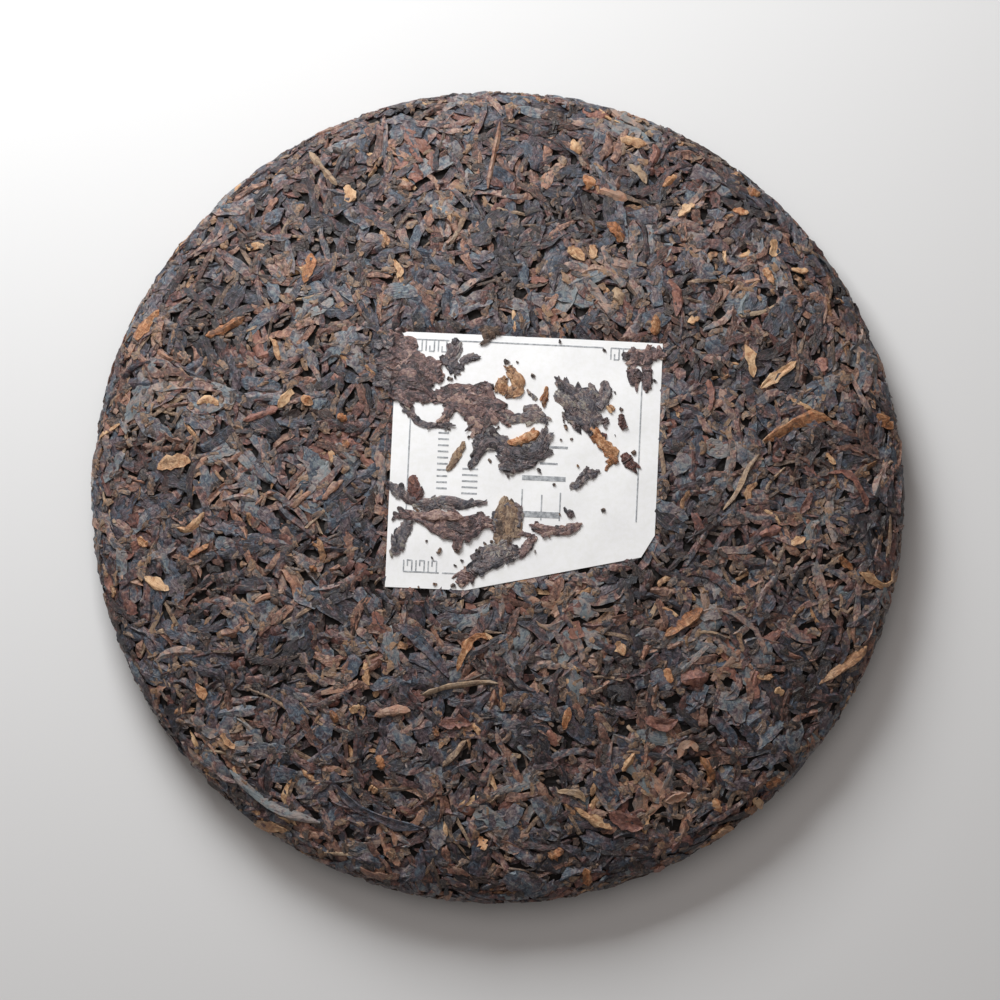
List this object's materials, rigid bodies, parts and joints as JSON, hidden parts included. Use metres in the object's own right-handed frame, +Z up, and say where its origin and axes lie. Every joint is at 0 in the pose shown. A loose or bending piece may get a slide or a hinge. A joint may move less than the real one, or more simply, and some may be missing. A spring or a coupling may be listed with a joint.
{
  "type": "pu erh tea cake",
  "caption": "Round lens-shaped cake of pressed dark tea leaves, with a square paper ticket set in its domed face and loose leaves pressed over the ticket.",
  "frame": {"origin": "under the middle of the cake, on the surface that it lies on, with the whole part's bounding box centred over it", "axes": "+Z up, out of the domed face with the ticket, which lies uppermost; +Y towards the edge that was at the top of the ticket; +X to the ticket's right"},
  "size_m": [0.1998, 0.2002, 0.026],
  "materials": {
    "pressed_tea": "matte, rough pressed leaf",
    "ticket_paper": "uncoated thin paper",
    "dark_leaf": "dry leaf, slight sheen",
    "brown_leaf": "dry leaf, slight sheen",
    "tan_leaf": "dry leaf, slight sheen",
    "gold_leaf": "dry leaf, slight sheen"
  },
  "bodies": {
    "root": {"cake": "pressed_tea", "ticket": "ticket_paper", "leaf_fork": "dark_leaf", "leaf_corner_left": "brown_leaf", "leaf_bent_strip": "dark_leaf", "leaf_broad": "brown_leaf", "leaf_broad_tail": "dark_leaf", "leaf_curl": "tan_leaf", "leaf_cluster_right": "dark_leaf", "leaf_tail_gold": "gold_leaf", "leaf_tail_dark": "dark_leaf", "leaf_arch": "dark_leaf", "leaf_bud": "tan_leaf", "leaf_thin": "dark_leaf", "leaf_boat": "brown_leaf", "leaf_diagonal": "dark_leaf", "leaf_square": "brown_leaf", "leaf_branch": "brown_leaf", "leaf_foot": "dark_leaf", "leaf_small": "dark_leaf", "leaf_corner_right": "dark_leaf"}
  },
  "joints": []
}
